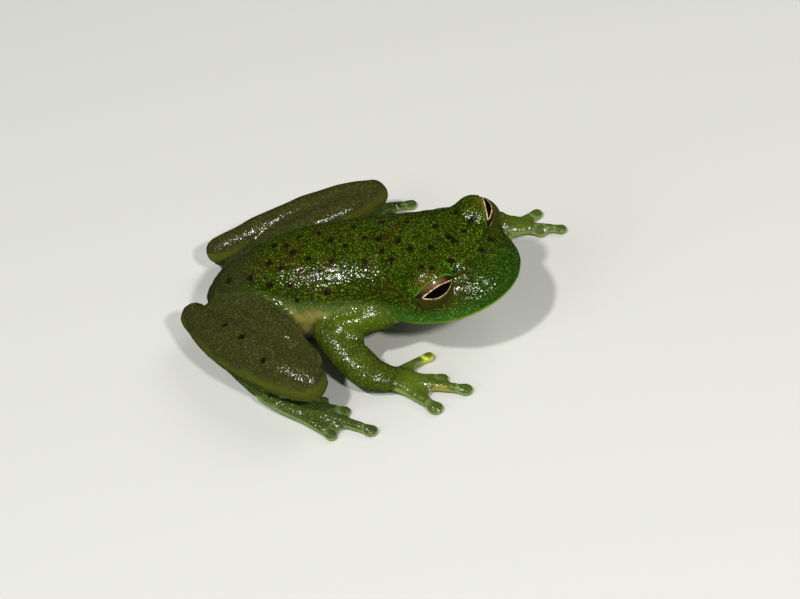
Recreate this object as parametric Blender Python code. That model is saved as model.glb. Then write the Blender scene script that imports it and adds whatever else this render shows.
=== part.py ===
"""Glass frog sitting on level ground, made at life size as separate solid sub-parts.

Working lengths are millimetres; every mesh is scaled to metres at the end. The frog faces -Y, its right
side is -X and the ground is z = 0.
"""

import math

import bmesh
import bpy
import numpy as np
from mathutils import Matrix, Vector

# Whole animal
GAP = 0.3  # clear space between neighbouring sub-parts
FLAT = 0.04  # depth of the flats that stand on the ground
BODY_LENGTH = 27.5  # snout to vent
VENT = (-1.04, 8.84)  # where the body line starts
PELVIS_TURN = -4.3  # heading of the pelvis, degrees to the frog's right
HEAD_TURN = 17.0  # heading of the head
BEND_FROM, BEND_TO = 11.3, 23.1  # stretch of the body line that bends

# Body sections: distance from the vent, half width, top, widest level, bottom
SECTIONS = (
    (0.0, 1.6, 3.9, 2.8, 2.0),
    (2.5, 2.6, 5.5, 2.8, 0.8),
    (5.0, 3.4, 6.75, 3.0, 0.05),
    (8.0, 4.35, 7.65, 3.4, -0.15),
    (11.0, 4.8, 8.0, 3.7, -0.05),
    (14.0, 4.8, 8.25, 4.1, 0.6),
    (17.0, 4.95, 8.75, 4.45, 2.0),
    (19.6, 5.5, 9.3, 4.7, 3.4),
    (23.5, 5.8, 9.35, 5.2, 4.2),
    (27.5, 5.9, 8.8, 5.9, 4.9),
)
SNOUT_FROM = 19.5  # the outline rounds off toward the snout from here
RUMP_FROM = 0.45  # where the rump's skin starts
RUMP_ROUND = 3.2  # the rump rounds off up to here
NECK = 18.2  # where head and torso part

# Eyes
EYE_AT = {-1: 21.9, 1: 22.25}  # distance from the vent of the right and the left eye centre
EYE_SIDE = 3.62
EYE_HEIGHT = 7.6
EYE_RADIUS = 1.85
LID_RADIUS = 2.08
EYE_OUT = 41.0  # degrees the eye looks aside from straight ahead
EYE_UP = 20.0
EYE_TILT = 5.0  # the front corner stands higher than the rear one
OPENING_LENGTH = 3.2
OPENING_UP, OPENING_DOWN = 0.95, 0.85
EYE_BACK = 0.55  # level of the flat back of the eye, from the eye centre

# Mouth and nostrils
LIP_RADIUS = 0.26
MOUTH_DEPTH, MOUTH_WIDTH, MOUTH_DROP = 0.34, 0.2, 0.3
JAW_ANGLE = 19.6
NOSTRIL_AT, NOSTRIL_SIDE, NOSTRIL_HEIGHT, NOSTRIL_RADIUS = 26.0, 1.55, 7.5, 0.17

# Rows of limb paths: x, y, z, half width, half height
UPPER_ARM_RIGHT = ((-4.1, -9.2, 4.35, 1.15, 1.25), (-5.15, -6.4, 4.1, 1.0, 1.1), (-5.6, -3.5, 3.6, 0.95, 1.0))
FOREARM_RIGHT = (
    (-5.85, -2.8, 3.35, 1.1, 1.1),
    (-7.25, -4.6, 2.5, 1.5, 1.3),
    (-8.5, -6.4, 1.6, 1.5, 1.2),
    (-8.8, -7.9, 1.1, 1.25, 0.95),
)
UPPER_ARM_LEFT = ((3.5, -8.9, 4.4, 1.15, 1.25), (5.4, -9.3, 3.7, 1.1, 1.15), (7.2, -9.9, 2.9, 1.0, 1.05))
FOREARM_LEFT = (
    (7.3, -10.2, 2.8, 1.1, 1.1),
    (7.8, -11.9, 2.4, 1.2, 1.15),
    (8.4, -13.8, 1.7, 1.1, 1.0),
    (8.8, -15.1, 1.05, 1.05, 0.85),
)
SHANK_RIGHT = (
    (-3.3, 8.9, 2.7, 1.25, 1.4),
    (-6.25, 5.6, 3.2, 2.0, 1.95),
    (-8.9, 1.8, 3.55, 2.2, 2.05),
    (-10.65, -1.1, 3.6, 1.85, 1.9),
    (-11.2, -2.3, 3.55, 1.6, 1.65),
)
THIGH_RIGHT = (
    (-2.0, 6.3, 3.4, 1.5, 1.7),
    (-4.2, 3.1, 3.9, 1.55, 1.8),
    (-7.0, 0.3, 4.05, 1.3, 1.6),
    (-9.5, -2.15, 3.85, 1.1, 1.25),
)
TARSUS_RIGHT = ((-3.3, 9.0, 1.5, 0.95, 0.95), (-5.9, 6.1, 0.85, 0.95, 0.8), (-9.2, 2.7, 0.75, 0.95, 0.75))
SHANK_LEFT = (
    (4.8, 8.5, 2.4, 1.2, 1.25),
    (6.15, 4.9, 3.0, 1.5, 1.6),
    (8.1, 0.5, 3.45, 1.65, 1.75),
    (9.4, -2.7, 3.45, 1.55, 1.65),
    (10.0, -4.2, 3.4, 1.35, 1.45),
)
THIGH_LEFT = (
    (0.9, 6.1, 3.3, 1.5, 1.7),
    (4.0, 2.5, 3.7, 1.5, 1.75),
    (6.7, -1.3, 3.8, 1.35, 1.6),
    (8.8, -3.9, 3.7, 1.1, 1.3),
)
TARSUS_LEFT = ((5.2, 8.7, 1.4, 0.95, 0.95), (7.0, 5.6, 0.85, 0.95, 0.8), (9.0, 2.2, 0.75, 0.95, 0.75))

# Hands and feet: rear and front of the palm or sole and its half width, then each digit as base x, y, tip x, y, half width, disc radius
HAND_RIGHT = {
    "palm": (-8.5, -7.9, -8.8, -10.1, 1.15),
    "digits": (
        (-7.5, -8.7, -5.75, -10.7, 0.4, 0.56),
        (-8.4, -9.6, -8.1, -12.2, 0.44, 0.52),
        (-8.7, -9.6, -9.3, -14.2, 0.48, 0.64),
        (-9.2, -9.2, -11.2, -12.0, 0.5, 0.7),
    ),
    "webs": ((1, 2, 0.72), (2, 3, 0.4)),
}
HAND_LEFT = {
    "palm": (8.7, -15.2, 8.65, -16.7, 1.0),
    "digits": (
        (8.1, -16.2, 6.9, -14.9, 0.38, 0.52),
        (8.5, -17.0, 8.15, -18.5, 0.4, 0.5),
        (8.65, -16.9, 8.5, -20.2, 0.4, 0.56),
        (9.0, -16.6, 10.4, -17.9, 0.46, 0.62),
    ),
    "webs": ((1, 2, 0.72), (2, 3, 0.4)),
}
FOOT_RIGHT = {
    "palm": (-9.8, 2.0, -11.8, -1.5, 1.05),
    "digits": (
        (-9.9, -0.6, -9.0, -2.2, 0.34, 0.42),
        (-10.5, -1.0, -10.4, -2.8, 0.38, 0.46),
        (-11.1, -1.6, -11.5, -4.7, 0.44, 0.54),
        (-11.6, -1.6, -13.5, -7.1, 0.5, 0.64),
        (-12.1, -1.2, -14.0, -4.0, 0.44, 0.54),
    ),
    "webs": ((1, 2, 0.45), (2, 3, 0.5), (3, 4, 0.55)),
}
FOOT_LEFT = {
    "palm": (9.6, 2.5, 10.6, -1.5, 0.92),
    "digits": (
        (9.4, -0.8, 8.5, -2.2, 0.34, 0.42),
        (9.8, -1.2, 9.5, -3.6, 0.36, 0.46),
        (10.4, -1.5, 10.6, -5.2, 0.38, 0.54),
        (11.0, -1.5, 11.95, -6.8, 0.44, 0.6),
        (11.2, -1.1, 12.6, -3.9, 0.38, 0.5),
    ),
    "webs": ((1, 2, 0.45), (2, 3, 0.5), (3, 4, 0.55)),
}

# Triangles kept in each kind of sub-part
BUDGET = {
    "head": 2600,
    "torso": 1500,
    "eye": 220,
    "upper_arm": 240,
    "forearm": 340,
    "hand": 900,
    "thigh": 420,
    "shank": 420,
    "tarsus": 260,
    "foot": 1100,
}

UP = Vector((0, 0, 1))


def spline(rows, count):
    """Points of a smooth curve that passes through every row."""
    p = np.array(rows, float)
    p = np.vstack([2 * p[0] - p[1], p, 2 * p[-1] - p[-2]])
    out = []
    for t in np.linspace(0, len(rows) - 1, count):
        i = min(int(t), len(rows) - 2)
        u = t - i
        a, b, c, d = p[i : i + 4]
        out.append(
            0.5 * (2 * b + (c - a) * u + (2 * a - 5 * b + 4 * c - d) * u * u + (3 * b - a - 3 * c + d) * u**3)
        )
    return np.array(out)


def mesh_object(name, verts, faces):
    mesh = bpy.data.meshes.new(name)
    mesh.from_pydata([tuple(v) for v in verts], [], faces)
    work = bmesh.new()
    work.from_mesh(mesh)
    bmesh.ops.recalc_face_normals(work, faces=work.faces)
    work.to_mesh(mesh)
    work.free()
    item = bpy.data.objects.new(name, mesh)
    bpy.context.scene.collection.objects.link(item)
    return item


def skin_rings(name, rings, start=None, end=None):
    """Closed surface over rings of equal count, closed by a point or a flat face at each end."""
    n = len(rings[0])
    verts = [v for ring in rings for v in ring]
    faces = []
    for k in range(len(rings) - 1):
        for i in range(n):
            j = (i + 1) % n
            faces.append((k * n + i, k * n + j, (k + 1) * n + j, (k + 1) * n + i))
    last = (len(rings) - 1) * n
    for tip, first in ((start, 0), (end, last)):
        if tip is None:
            faces.append(tuple(range(first, first + n)))
            continue
        verts.append(tip)
        faces += [(first + i, first + (i + 1) % n, len(verts) - 1) for i in range(n)]
    return mesh_object(name, verts, faces)


def tube(name, rows, stations=22, sides=20):
    """Round-ended limb segment of oval section along a smooth path."""
    q = spline(rows, stations)
    centres = [Vector(r[:3]) for r in q]
    steps = [(b - a).normalized() for a, b in zip(centres[:-1], centres[1:])]
    tangents = [steps[0]] + [(a + b).normalized() for a, b in zip(steps[:-1], steps[1:])] + [steps[-1]]

    def ring(c, t, w, h):
        side = t.cross(UP).normalized()
        lift = side.cross(t).normalized()
        return [
            c + side * (w * math.cos(a)) + lift * (h * math.sin(a))
            for a in (2 * math.pi * i / sides for i in range(sides))
        ]

    rings = []
    for a in (75, 55, 35, 18):
        c, s = math.cos(math.radians(a)), math.sin(math.radians(a))
        w, h = q[0][3], q[0][4]
        rings.append(ring(centres[0] - tangents[0] * (min(w, h) * s), tangents[0], w * c, h * c))
    for k in range(stations):
        rings.append(ring(centres[k], tangents[k], q[k][3], q[k][4]))
    for a in (18, 35, 55, 75):
        c, s = math.cos(math.radians(a)), math.sin(math.radians(a))
        w, h = q[-1][3], q[-1][4]
        rings.append(ring(centres[-1] + tangents[-1] * (min(w, h) * s), tangents[-1], w * c, h * c))
    start = centres[0] - tangents[0] * min(q[0][3], q[0][4])
    end = centres[-1] + tangents[-1] * min(q[-1][3], q[-1][4])
    return skin_rings(name, rings, start, end)


def ball(name, centre, radii, detail=4):
    work = bmesh.new()
    bmesh.ops.create_icosphere(work, subdivisions=detail, radius=1.0)
    for v in work.verts:
        v.co = Vector(centre) + Vector((v.co.x * radii[0], v.co.y * radii[1], v.co.z * radii[2]))
    mesh = bpy.data.meshes.new(name)
    work.to_mesh(mesh)
    work.free()
    item = bpy.data.objects.new(name, mesh)
    bpy.context.scene.collection.objects.link(item)
    return item


def box(name, low, high):
    x0, y0, z0 = low
    x1, y1, z1 = high
    verts = [(x, y, z) for x in (x0, x1) for y in (y0, y1) for z in (z0, z1)]
    faces = [(0, 1, 3, 2), (4, 6, 7, 5), (0, 4, 5, 1), (2, 3, 7, 6), (0, 2, 6, 4), (1, 5, 7, 3)]
    return mesh_object(name, verts, faces)


def drop(item):
    mesh = item.data
    bpy.data.objects.remove(item)
    bpy.data.meshes.remove(mesh)


def settle(item):
    """Turns the modifiers of an object into its own mesh."""
    graph = bpy.context.evaluated_depsgraph_get()
    mesh = bpy.data.meshes.new_from_object(item.evaluated_get(graph))
    item.modifiers.clear()
    old = item.data
    item.data = mesh
    bpy.data.meshes.remove(old)
    return item


def twin(item, name):
    other = item.copy()
    other.data = item.data.copy()
    other.name = name
    bpy.context.scene.collection.objects.link(other)
    return other


def remesh(item, voxel, rounds):
    m = item.modifiers.new("remesh", "REMESH")
    m.mode = "VOXEL"
    m.voxel_size = voxel
    if rounds:
        s = item.modifiers.new("smooth", "SMOOTH")
        s.factor = 0.5
        s.iterations = rounds
    return settle(item)


def blend(name, pieces, voxel, rounds):
    """One closed surface round overlapping pieces."""
    work = bmesh.new()
    for piece in pieces:
        work.from_mesh(piece.data)
    mesh = bpy.data.meshes.new(name)
    work.to_mesh(mesh)
    work.free()
    for piece in pieces:
        drop(piece)
    item = bpy.data.objects.new(name, mesh)
    bpy.context.scene.collection.objects.link(item)
    return remesh(item, voxel, rounds)


def carve(item, cutter, operation="DIFFERENCE", keep_cutter=False):
    m = item.modifiers.new("cut", "BOOLEAN")
    m.operation = operation
    m.solver = "EXACT"
    m.object = cutter
    cutter.hide_render = True
    cutter.display_type = "WIRE"
    settle(item)
    if not keep_cutter:
        drop(cutter)
    return item


def grown(item, distance):
    """A copy of the item, larger by the distance all round."""
    other = twin(item, item.name + "_grown")
    work = bmesh.new()
    work.from_mesh(other.data)
    work.normal_update()
    moves = [v.normal.copy() for v in work.verts]
    for v, n in zip(work.verts, moves):
        v.co += n * distance
    work.to_mesh(other.data)
    work.free()
    return remesh(other, 0.25, 1)


def keep_largest(item):
    work = bmesh.new()
    work.from_mesh(item.data)
    left = set(work.verts)
    groups = []
    while left:
        seed = next(iter(left))
        group, front = {seed}, [seed]
        while front:
            v = front.pop()
            for e in v.link_edges:
                o = e.other_vert(v)
                if o not in group:
                    group.add(o)
                    front.append(o)
        left -= group
        groups.append(group)
    groups.sort(key=len)
    for group in groups[:-1]:
        bmesh.ops.delete(work, geom=list(group), context="VERTS")
    work.to_mesh(item.data)
    work.free()
    return item


def sealed(mesh):
    """True where every edge joins two faces and no face has lost its area."""
    work = bmesh.new()
    work.from_mesh(mesh)
    good = all(len(e.link_faces) == 2 for e in work.edges)
    good = good and all(len(v.link_faces) == len(v.link_edges) for v in work.verts)
    good = good and all(f.calc_area() > 1e-5 for f in work.faces)
    work.free()
    return good


def lighten(item, triangles):
    """Reduces a surface to about the stated number of triangles, trying nearby numbers until it stays sealed."""
    source = item.data
    for attempt in range(12):
        item.data = source.copy()
        work = bmesh.new()
        work.from_mesh(item.data)
        bmesh.ops.triangulate(work, faces=work.faces)
        work.to_mesh(item.data)
        count = len(work.faces)
        work.free()
        wanted = triangles * (1 - 0.025 * attempt)
        if count > wanted:
            m = item.modifiers.new("lighten", "DECIMATE")
            m.ratio = wanted / count
            settle(item)
        keep_largest(item)
        if sealed(item.data):
            break
    return item


# Body line: distance from the vent to place and heading


def heading(s):
    t = min(max((s - BEND_FROM) / (BEND_TO - BEND_FROM), 0.0), 1.0)
    return math.radians(PELVIS_TURN + (HEAD_TURN - PELVIS_TURN) * t * t * (3 - 2 * t))


def body_frame(s):
    x, y = VENT
    steps = 140
    for k in range(steps):
        a = heading(s * (k + 0.5) / steps)
        x -= math.sin(a) * s / steps
        y -= math.cos(a) * s / steps
    a = heading(s)
    forward = Vector((-math.sin(a), -math.cos(a), 0))
    return Vector((x, y, 0)), forward, forward.cross(UP)


def section(s):
    """Half width, top, widest level and bottom of the body at a distance from the vent."""
    at = np.array([row[0] for row in SECTIONS])
    row = spline(SECTIONS, 561)
    w, top, wide, low = (np.interp(s, row[:, 0], row[:, k]) for k in (1, 2, 3, 4))
    round_off = 1.0
    if s > SNOUT_FROM:
        t = min((s - SNOUT_FROM) / (at[-1] - SNOUT_FROM), 1.0)
        round_off = (1 - t**2.3) ** (1 / 1.9)
    if s < RUMP_ROUND:
        t = (RUMP_ROUND - s) / (RUMP_ROUND - RUMP_FROM)
        round_off = math.sqrt(max(1 - t * t, 0))
    return w * round_off, wide + (top - wide) * round_off, wide, wide - (wide - low) * round_off


def body():
    """Head and trunk as one closed surface of oval sections."""
    rings = []
    sides = 40
    for k in range(1, 46):
        s = RUMP_FROM + (BODY_LENGTH - RUMP_FROM) * (1 - math.cos(math.pi * k / 46)) / 2
        centre, _, side = body_frame(s)
        w, top, wide, low = section(s)
        head = min(max((s - 15) / 5, 0), 1)
        power_top = 2.35 - 0.25 * head
        power_low = 2.5 - 0.5 * head
        ring = []
        for i in range(sides):
            a = 2 * math.pi * i / sides
            c, z = math.cos(a), math.sin(a)
            power = power_top if z > 0 else power_low
            u = w * math.copysign(abs(c) ** (2 / power), c)
            v = (top - wide if z > 0 else wide - low) * math.copysign(abs(z) ** (2 / power), z)
            ring.append(centre + side * u + UP * (wide + v))
        rings.append(ring)
    ends = [body_frame(s)[0] + UP * section(s)[2] for s in (RUMP_FROM, BODY_LENGTH)]
    return skin_rings("body", rings, ends[0], ends[1])


def lip_line():
    """Points round the upper lip from the right jaw angle to the left one, with outward directions."""
    reach = BODY_LENGTH - 0.02 - JAW_ANGLE
    stations = [JAW_ANGLE + reach * math.sin(math.pi / 2 * k / 20) for k in range(21)]
    points = []
    for s, sign in [(s, -1) for s in stations] + [(s, 1) for s in reversed(stations)]:
        centre, _, side = body_frame(s)
        w, _, wide, _ = section(s)
        points.append(centre - side * (sign * w) + UP * wide)
    kept = [points[0]]
    for p in points[1:]:
        if (p - kept[-1]).length > 0.12:
            kept.append(p)
    outs = []
    for k in range(len(kept)):
        t = kept[min(k + 1, len(kept) - 1)] - kept[max(k - 1, 0)]
        outs.append(Vector((t.y, -t.x, 0)).normalized())
    middle = body_frame(JAW_ANGLE + 2)[0]
    if (kept[0] - middle).dot(outs[0]) < 0:
        outs = [-o for o in outs]
    return kept, outs


def lip_rim():
    points, outs = lip_line()
    rings = []
    for p, o in zip(points, outs):
        c = p - o * (LIP_RADIUS * 0.62)
        rings.append(
            [c + o * (LIP_RADIUS * math.cos(a)) + UP * (LIP_RADIUS * math.sin(a)) for a in np.arange(8) * math.pi / 4]
        )
    return skin_rings("lip", rings)


def mouth_cutter():
    points, outs = lip_line()
    rings = []
    for p, o in zip(points, outs):
        c = p - UP * MOUTH_DROP
        half = UP * (MOUTH_WIDTH / 2)
        inner, outer = c - o * MOUTH_DEPTH, c + o * 0.8
        rings.append([inner - half * 0.6, outer - half * 1.4, outer + half * 1.4, inner + half * 0.6])
    return skin_rings("mouth", rings)


def eye_frame(sign):
    """Centre and local directions of an eye; sign is -1 for the right eye and 1 for the left."""
    centre, forward, side = body_frame(EYE_AT[sign])
    left = -side
    centre = centre + left * (sign * EYE_SIDE) + UP * EYE_HEIGHT
    a, e, t = (math.radians(v) for v in (EYE_OUT, EYE_UP, EYE_TILT))
    flat = forward * math.cos(a) + left * (sign * math.sin(a))
    out = flat * math.cos(e) + UP * math.sin(e)
    along = forward * math.sin(a) - left * (sign * math.cos(a))
    over = along.cross(out).normalized()
    if over.z < 0:
        over = -over
    along, over = along * math.cos(t) + over * math.sin(t), over * math.cos(t) - along * math.sin(t)
    return centre, out, along.normalized(), over.normalized()


def opening(name, frame, extra, start, end):
    """Prism through the almond-shaped opening between the lids."""
    centre, out, along, over = frame
    half = OPENING_LENGTH / 2 + extra
    outline = []
    for k in range(28):
        a = 2 * math.pi * k / 28
        u, v = math.cos(a), math.sin(a)
        rise = (OPENING_UP if v > 0 else OPENING_DOWN) + extra
        outline.append((u * half, math.copysign(abs(v) ** 1.15, v) * rise))
    rings = [[centre + along * u + over * v + out * d for u, v in outline] for d in (start, end)]
    return skin_rings(name, rings)


def digits(plan, name):
    """Palm or sole with its fingers or toes, end discs and webs, standing on flats at ground level."""
    x0, y0, x1, y1, half_w = plan["palm"]
    rear = (x0, y0, 0.85, half_w, 0.75)
    middle = ((x0 + x1) / 2, (y0 + y1) / 2, 0.72, half_w * 1.08, 0.76)
    front = (x1, y1, 0.55, half_w * 0.95, 0.58)
    pieces = [tube(name + "_palm", (rear, middle, front))]
    for k, (bx, by, tx, ty, w, disc) in enumerate(plan["digits"]):
        step = Vector((tx - bx, ty - by, 0))
        rows = [(bx, by, 0.55, w * 1.15, 0.5)]
        rows.append((bx + step.x * 0.5, by + step.y * 0.5, 0.46, w, 0.47))
        rows.append((tx, ty, 0.36, w * 0.9, 0.38))
        pieces.append(tube(f"{name}_digit{k}", rows, 14, 14))
        pieces.append(ball(f"{name}_disc{k}", (tx, ty, 0.3), (disc, disc, 0.36), 3))
    for a, b, reach in plan["webs"]:
        pieces.append(web(f"{name}_web{a}", plan["digits"][a], plan["digits"][b], reach))
    item = blend(name, pieces, 0.13, 4)
    carve(item, box("under", (-60, -60, -9), (60, 60, 0.0)))
    return item


def web(name, first, second, reach):
    """Thin sheet of skin between two digits, with a hollow front edge."""
    a0, a1 = Vector((first[0], first[1], 0)), Vector((first[2], first[3], 0))
    b0, b1 = Vector((second[0], second[1], 0)), Vector((second[2], second[3], 0))
    rows = []
    for k in range(7):
        t = k / 6
        edge = a0.lerp(a1, reach).lerp(b0.lerp(b1, reach), t)
        base = a0.lerp(b0, t)
        hollow = 4 * t * (1 - t) * 0.32
        rows.append((base, edge.lerp(base, hollow)))
    rings = []
    for base, edge in rows:
        rings.append([base + UP * 0.12, edge + UP * 0.12, edge + UP * 0.62, base + UP * 0.62])
    return skin_rings(name, rings)


def material(name, colour, roughness, metallic=0.0):
    m = bpy.data.materials.get(name) or bpy.data.materials.new(name)
    m.use_nodes = True
    shader = m.node_tree.nodes["Principled BSDF"]
    shader.inputs["Base Color"].default_value = (*colour, 1)
    shader.inputs["Roughness"].default_value = roughness
    shader.inputs["Metallic"].default_value = metallic
    return m


for old in list(bpy.data.objects):
    bpy.data.objects.remove(old, do_unlink=True)

parts = {}

# Trunk and head start as one form, so that both sides of the neck match
whole = body()
domes = []
for sign in (-1, 1):
    frame = eye_frame(sign)
    domes.append(ball("dome", frame[0], (LID_RADIUS,) * 3, 4))
nose, nose_forward, nose_side = body_frame(NOSTRIL_AT)
for sign in (-1, 1):
    spot = nose + nose_side * (sign * NOSTRIL_SIDE) + UP * (NOSTRIL_HEIGHT - 0.14)
    domes.append(ball("nostril_rise", spot, (0.42, 0.42, 0.3), 3))
whole = blend("whole", [whole, lip_rim()] + domes, 0.2, 5)

neck, neck_forward, _ = body_frame(NECK)
turn = Matrix.Rotation(math.atan2(neck_forward.x, -neck_forward.y), 4, "Z")


def neck_box(name, front):
    """Large block that covers everything on one side of the neck."""
    item = box(name, (-40, -60, -40), (40, -GAP / 2, 40)) if front else box(name, (-40, GAP / 2, -40), (40, 60, 40))
    item.data.transform(Matrix.Translation(neck) @ turn)
    return item


torso = twin(whole, "torso")
carve(whole, neck_box("front", True), "INTERSECT")
carve(torso, neck_box("rear", False), "INTERSECT")
carve(torso, box("under", (-60, -60, -9), (60, 60, 0.0)))
head = whole
head.name = "head"

# Mouth groove, nostrils, eye openings
carve(head, mouth_cutter())
for sign in (-1, 1):
    spot = nose + nose_side * (sign * NOSTRIL_SIDE) + UP * (NOSTRIL_HEIGHT + 0.16)
    carve(head, ball("nostril", spot, (NOSTRIL_RADIUS, NOSTRIL_RADIUS, 0.36), 2))
for sign, side in ((-1, "right"), (1, "left")):
    frame = eye_frame(sign)
    carve(head, opening("socket", frame, GAP, EYE_BACK - GAP, 5))
    eye = ball("eye_" + side, frame[0], (EYE_RADIUS,) * 3, 4)
    carve(eye, opening("almond", frame, 0.0, EYE_BACK, 5), "INTERSECT")
    parts["eye_" + side] = eye
parts["head"] = head
parts["torso"] = torso

limbs = {
    "shank_right": SHANK_RIGHT,
    "shank_left": SHANK_LEFT,
    "thigh_right": THIGH_RIGHT,
    "thigh_left": THIGH_LEFT,
    "tarsus_right": TARSUS_RIGHT,
    "tarsus_left": TARSUS_LEFT,
    "upper_arm_right": UPPER_ARM_RIGHT,
    "upper_arm_left": UPPER_ARM_LEFT,
    "forearm_right": FOREARM_RIGHT,
    "forearm_left": FOREARM_LEFT,
}
for name, rows in limbs.items():
    item = tube(name, rows, 26, 24)
    remesh(item, 0.2, 1)
    if min(r[2] - r[4] for r in rows) < 0.05:
        carve(item, box("under", (-60, -60, -9), (60, 60, 0.0)))
    parts[name] = item
for name, plan in (
    ("hand_right", HAND_RIGHT),
    ("hand_left", HAND_LEFT),
    ("foot_right", FOOT_RIGHT),
    ("foot_left", FOOT_LEFT),
):
    parts[name] = digits(plan, name)

# Neighbours that would touch are pared back, the later kind by the grown form of the earlier one


def bounds(item):
    co = np.array([v.co[:] for v in item.data.vertices])
    return co.min(0), co.max(0)


def near(one, two):
    (low1, high1), (low2, high2) = bounds(one), bounds(two)
    return bool(np.all(low1 - GAP < high2) and np.all(low2 - GAP < high1))


PARING = ("head", "torso", "shank", "thigh", "forearm", "upper_arm", "tarsus", "hand", "foot")
order = [n for kind in PARING for n in sorted(parts) if n.replace("_right", "").replace("_left", "") == kind]
for k, first in enumerate(order):
    shell = None
    for second in order[k + 1 :]:
        if (first, second) == ("head", "torso") or not near(parts[first], parts[second]):
            continue
        shell = shell or grown(parts[first], GAP + 0.02)
        carve(parts[second], shell, keep_cutter=True)
        keep_largest(parts[second])
    if shell:
        drop(shell)

# Clean surfaces after the cuts, with no knife edges left
for name, item in parts.items():
    if "eye" in name:
        continue
    fine = name == "head" or "hand" in name or "foot" in name
    remesh(item, 0.1 if fine else 0.14, 1)
    if bounds(item)[0][2] < FLAT:
        carve(item, box("under", (-60, -60, -9), (60, 60, FLAT)))

# Colours read from the picture
back = material("back_skin", (0.075, 0.11, 0.02), 0.42)
limb = material("limb_skin", (0.11, 0.12, 0.035), 0.38)
glassy = material("digit_skin", (0.13, 0.19, 0.05), 0.3)
iris = material("eye", (0.05, 0.03, 0.015), 0.08)
looks = {
    "head": back,
    "torso": back,
    "eye": iris,
    "upper_arm": limb,
    "forearm": limb,
    "thigh": limb,
    "shank": limb,
    "tarsus": limb,
    "hand": glassy,
    "foot": glassy,
}

for name, item in parts.items():
    kind = name.replace("_right", "").replace("_left", "")
    lighten(item, BUDGET[kind])
    for v in item.data.vertices:
        if v.co.z < FLAT + 0.02:
            v.co.z = FLAT
    item.data.materials.clear()
    item.data.materials.append(looks[kind])
    item.name = name

# Origin at the centre of the base
low = np.array([min(v.co[k] for o in parts.values() for v in o.data.vertices) for k in range(3)])
high = np.array([max(v.co[k] for o in parts.values() for v in o.data.vertices) for k in range(3)])
shift = Vector((-(low[0] + high[0]) / 2, -(low[1] + high[1]) / 2, -low[2]))
for item in parts.values():
    item.data.transform(Matrix.Scale(0.001, 4) @ Matrix.Translation(shift))
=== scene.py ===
"""A glass frog at rest, life size: one wet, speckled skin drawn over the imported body, and two eyes."""

import math

import bmesh
import bpy
import numpy as np
from mathutils import Matrix, Vector, noise
from mathutils.bvhtree import BVHTree
from mathutils.kdtree import KDTree


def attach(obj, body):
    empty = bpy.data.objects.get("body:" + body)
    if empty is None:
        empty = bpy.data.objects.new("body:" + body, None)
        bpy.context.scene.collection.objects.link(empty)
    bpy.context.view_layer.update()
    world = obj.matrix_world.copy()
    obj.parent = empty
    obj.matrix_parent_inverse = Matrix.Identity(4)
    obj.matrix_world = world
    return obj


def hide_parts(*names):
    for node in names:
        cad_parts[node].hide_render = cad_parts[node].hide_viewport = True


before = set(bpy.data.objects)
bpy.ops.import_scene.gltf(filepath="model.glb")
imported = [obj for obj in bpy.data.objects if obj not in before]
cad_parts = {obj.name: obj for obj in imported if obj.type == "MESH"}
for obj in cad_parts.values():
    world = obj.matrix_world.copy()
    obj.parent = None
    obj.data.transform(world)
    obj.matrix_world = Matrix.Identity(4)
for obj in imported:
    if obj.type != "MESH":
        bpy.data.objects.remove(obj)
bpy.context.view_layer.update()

# The viewpoint. The frog is seen from above and from its right, as in the photograph, through a
# long lens that is turned a little, so that the ground falls away to the right.
MM = 0.001
UP = Vector((0, 0, 1))
VIEW_SIDE = math.radians(-71.88)
VIEW_RISE = math.radians(44.98)
VIEW_ROLL = math.radians(-14.01)
VIEW_DISTANCE = 184.68 * MM
VIEW_AIM = Vector((1.679, -2.040, 0)) * MM
LENS = 100
SENSOR = 36
PICTURE = (800, 599)
NEAREST_SEEN = 0.005
FURTHEST_SEEN = 10

back = Vector((math.sin(VIEW_SIDE), -math.cos(VIEW_SIDE), math.tan(VIEW_RISE))).normalized()
level = UP.cross(back).normalized()
rise = back.cross(level)
right = level * math.cos(VIEW_ROLL) + rise * math.sin(VIEW_ROLL)
top = rise * math.cos(VIEW_ROLL) - level * math.sin(VIEW_ROLL)
lens_place = VIEW_AIM + back * VIEW_DISTANCE
camera = bpy.data.objects.new("camera", bpy.data.cameras.new("camera"))
camera.data.lens = LENS
camera.data.sensor_width = SENSOR
camera.data.clip_start = NEAREST_SEEN
camera.data.clip_end = FURTHEST_SEEN
camera.matrix_world = Matrix((right, top, back)).transposed().to_4x4()
camera.location = lens_place
bpy.context.scene.collection.objects.link(camera)
bpy.context.scene.camera = camera
bpy.context.scene.view_settings.view_transform = "Standard"

# The studio. A pale matt floor, two small lamps either side of the viewpoint that put the wet
# sparkle on the skin, two wide panels that fill their shadows, and a dim pale room. The wet skin
# mirrors the two lamps alone, so that the edges of the body stay dark.
FLOOR_WIDTH = 3.0
FLOOR_TONE = (0.50, 0.51, 0.49, 1)
FLOOR_FINISH = {"Base Color": FLOOR_TONE, "Roughness": 0.9, "Specular IOR Level": 0.1}
ROOM_LIGHT = (0.10, 0.105, 0.11, 1)
ROOM_SEEN = (0.55, 0.57, 0.58, 1)
ROOM_MIRRORED = (0.010, 0.014, 0.010, 1)
LAMP_DISTANCE = 0.30
LAMP_WIDTH = 0.026
LAMP_TINT = (1.0, 0.97, 0.92)
PANEL_WIDTH = 0.30
LAMPS = {
    "lamp_rear": ((-0.36, 0.24, 0.90), LAMP_DISTANCE, LAMP_WIDTH, 0.62, LAMP_TINT),
    "lamp_front": ((-0.48, -0.52, 0.70), LAMP_DISTANCE, LAMP_WIDTH, 0.60, LAMP_TINT),
    "panel_left": ((-0.6, 0.7, 0.6), 0.40, PANEL_WIDTH, 0.55, (0.93, 0.97, 1.0)),
    "panel_right": ((0.7, -0.6, 0.9), 0.45, PANEL_WIDTH, 0.7, (1.0, 0.98, 0.95)),
}
MIX_SHARE = 0
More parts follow.
